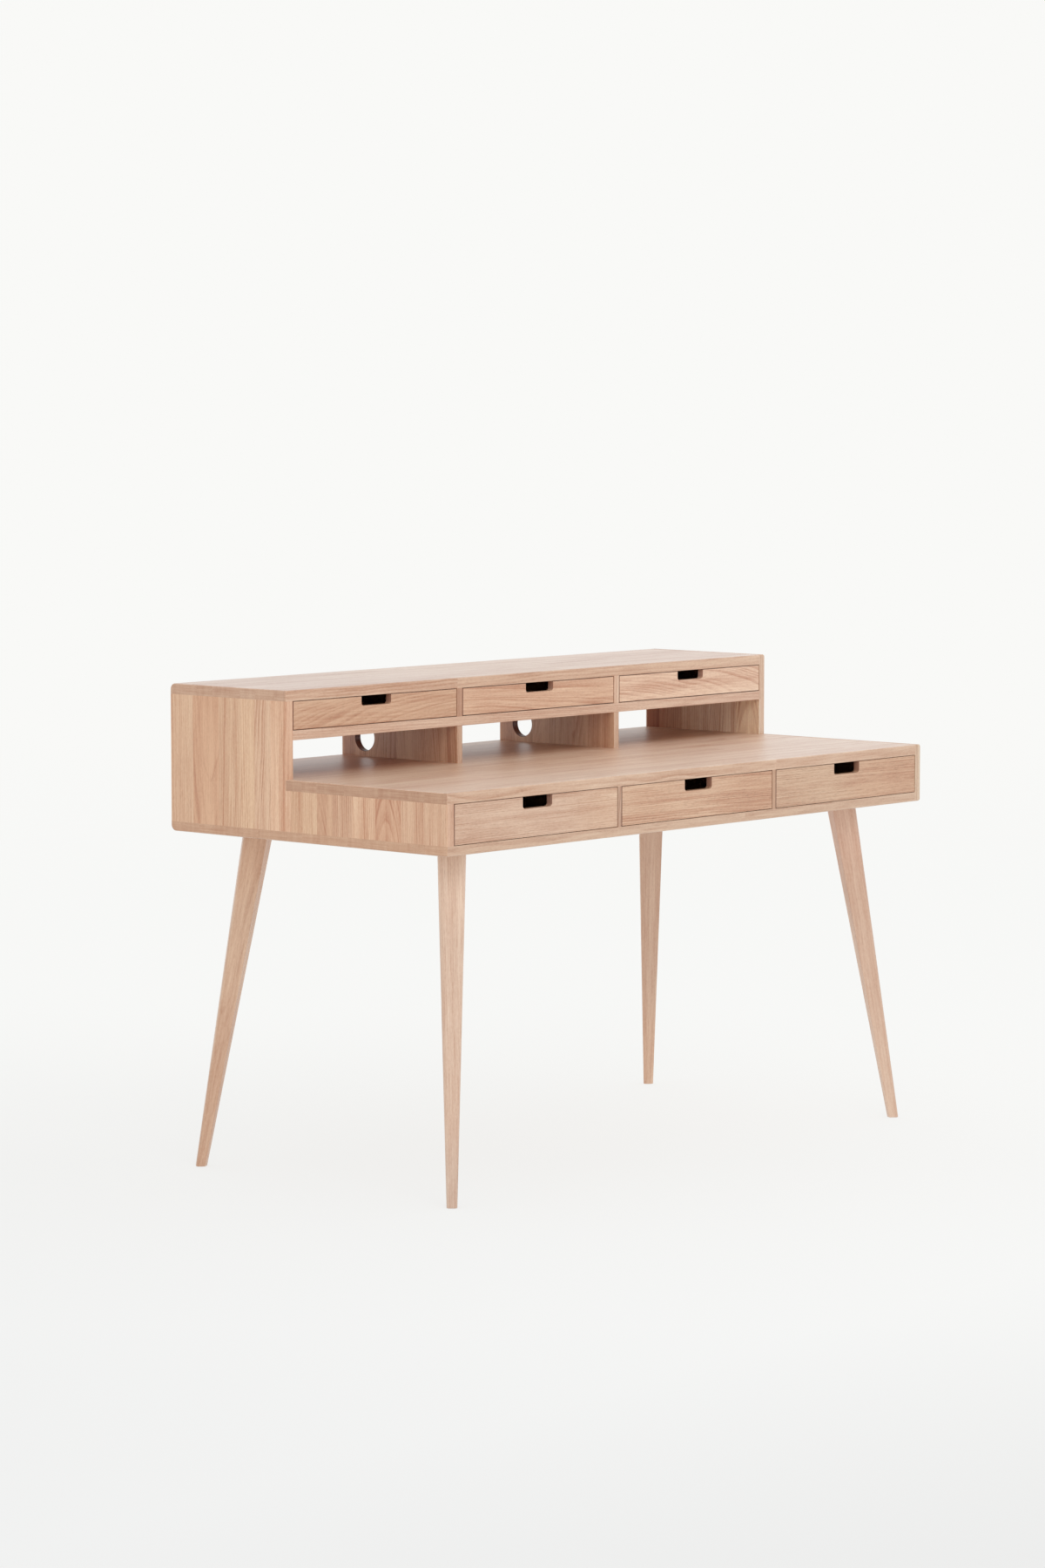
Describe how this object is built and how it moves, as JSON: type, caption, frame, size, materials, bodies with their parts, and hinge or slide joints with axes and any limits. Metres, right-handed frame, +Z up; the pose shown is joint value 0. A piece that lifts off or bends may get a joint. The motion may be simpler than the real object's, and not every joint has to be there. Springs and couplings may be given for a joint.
{
  "type": "writing desk with gallery",
  "caption": "Solid light-oak writing desk on splayed tapered legs, with sliding drawers under the desktop and a low rear gallery of small drawers above open cubbies.",
  "frame": {"origin": "on the floor under the middle of the desk", "axes": "+X along the width to the right seen from the front, +Y towards the rear, +Z up"},
  "size_m": [1.4, 0.7, 0.913],
  "materials": {
    "oak_boards": "white-oiled oak, satin, grain along the width",
    "oak_side_panels": "white-oiled oak staves, satin, grain upright",
    "oak_dividers": "white-oiled oak, satin",
    "oak_drawer_fronts": "white-oiled oak, satin, grain along the width",
    "oak_drawer_boxes": "plain oak, matt",
    "oak_legs": "white-oiled oak, satin, grain along the leg",
    "oak_runners": "plain oak, waxed",
    "beech_dowels": "plain beech",
    "steel_bolts": "zinc-plated steel",
    "brass_inserts": "plain brass"
  },
  "bodies": {
    "case": {"bottom_panel": "oak_boards", "case_dowels": "beech_dowels", "cubby_divider_left": "oak_dividers", "cubby_divider_right": "oak_dividers", "desktop": "oak_boards", "divider_dowels": "beech_dowels", "gallery_shelf": "oak_boards", "gallery_top": "oak_boards", "left_side_panel": "oak_side_panels", "leg_bolts": "steel_bolts", "leg_front_left": "oak_legs", "leg_front_right": "oak_legs", "leg_inserts": "brass_inserts", "leg_rear_left": "oak_legs", "leg_rear_right": "oak_legs", "lower_back_panel": "oak_boards", "lower_divider_left": "oak_dividers", "lower_divider_right": "oak_dividers", "lower_drawer_runners": "oak_runners", "right_side_panel": "oak_side_panels", "upper_back_panel": "oak_boards", "upper_divider_left": "oak_dividers", "upper_divider_right": "oak_dividers", "upper_drawer_runners": "oak_runners"},
    "drawer_lower_left": {"drawer_back_lower_left": "oak_drawer_boxes", "drawer_bottom_lower_left": "oak_drawer_boxes", "drawer_front_lower_left": "oak_drawer_fronts", "drawer_side_left_lower_left": "oak_drawer_boxes", "drawer_side_right_lower_left": "oak_drawer_boxes"},
    "drawer_lower_middle": {"drawer_back_lower_middle": "oak_drawer_boxes", "drawer_bottom_lower_middle": "oak_drawer_boxes", "drawer_front_lower_middle": "oak_drawer_fronts", "drawer_side_left_lower_middle": "oak_drawer_boxes", "drawer_side_right_lower_middle": "oak_drawer_boxes"},
    "drawer_lower_right": {"drawer_back_lower_right": "oak_drawer_boxes", "drawer_bottom_lower_right": "oak_drawer_boxes", "drawer_front_lower_right": "oak_drawer_fronts", "drawer_side_left_lower_right": "oak_drawer_boxes", "drawer_side_right_lower_right": "oak_drawer_boxes"},
    "drawer_upper_left": {"drawer_back_upper_left": "oak_drawer_boxes", "drawer_bottom_upper_left": "oak_drawer_boxes", "drawer_front_upper_left": "oak_drawer_fronts", "drawer_side_left_upper_left": "oak_drawer_boxes", "drawer_side_right_upper_left": "oak_drawer_boxes"},
    "drawer_upper_middle": {"drawer_back_upper_middle": "oak_drawer_boxes", "drawer_bottom_upper_middle": "oak_drawer_boxes", "drawer_front_upper_middle": "oak_drawer_fronts", "drawer_side_left_upper_middle": "oak_drawer_boxes", "drawer_side_right_upper_middle": "oak_drawer_boxes"},
    "drawer_upper_right": {"drawer_back_upper_right": "oak_drawer_boxes", "drawer_bottom_upper_right": "oak_drawer_boxes", "drawer_front_upper_right": "oak_drawer_fronts", "drawer_side_left_upper_right": "oak_drawer_boxes", "drawer_side_right_upper_right": "oak_drawer_boxes"}
  },
  "joints": [
    {"name": "lower_left_slide", "type": "slide", "parent": "case", "child": "drawer_lower_left", "axis": [0, -1, 0], "range_m": [0, 0.4]},
    {"name": "lower_middle_slide", "type": "slide", "parent": "case", "child": "drawer_lower_middle", "axis": [0, -1, 0], "range_m": [0, 0.4]},
    {"name": "lower_right_slide", "type": "slide", "parent": "case", "child": "drawer_lower_right", "axis": [0, -1, 0], "range_m": [0, 0.4]},
    {"name": "upper_left_slide", "type": "slide", "parent": "case", "child": "drawer_upper_left", "axis": [0, -1, 0], "range_m": [0, 0.19]},
    {"name": "upper_middle_slide", "type": "slide", "parent": "case", "child": "drawer_upper_middle", "axis": [0, -1, 0], "range_m": [0, 0.19]},
    {"name": "upper_right_slide", "type": "slide", "parent": "case", "child": "drawer_upper_right", "axis": [0, -1, 0], "range_m": [0, 0.19]}
  ]
}
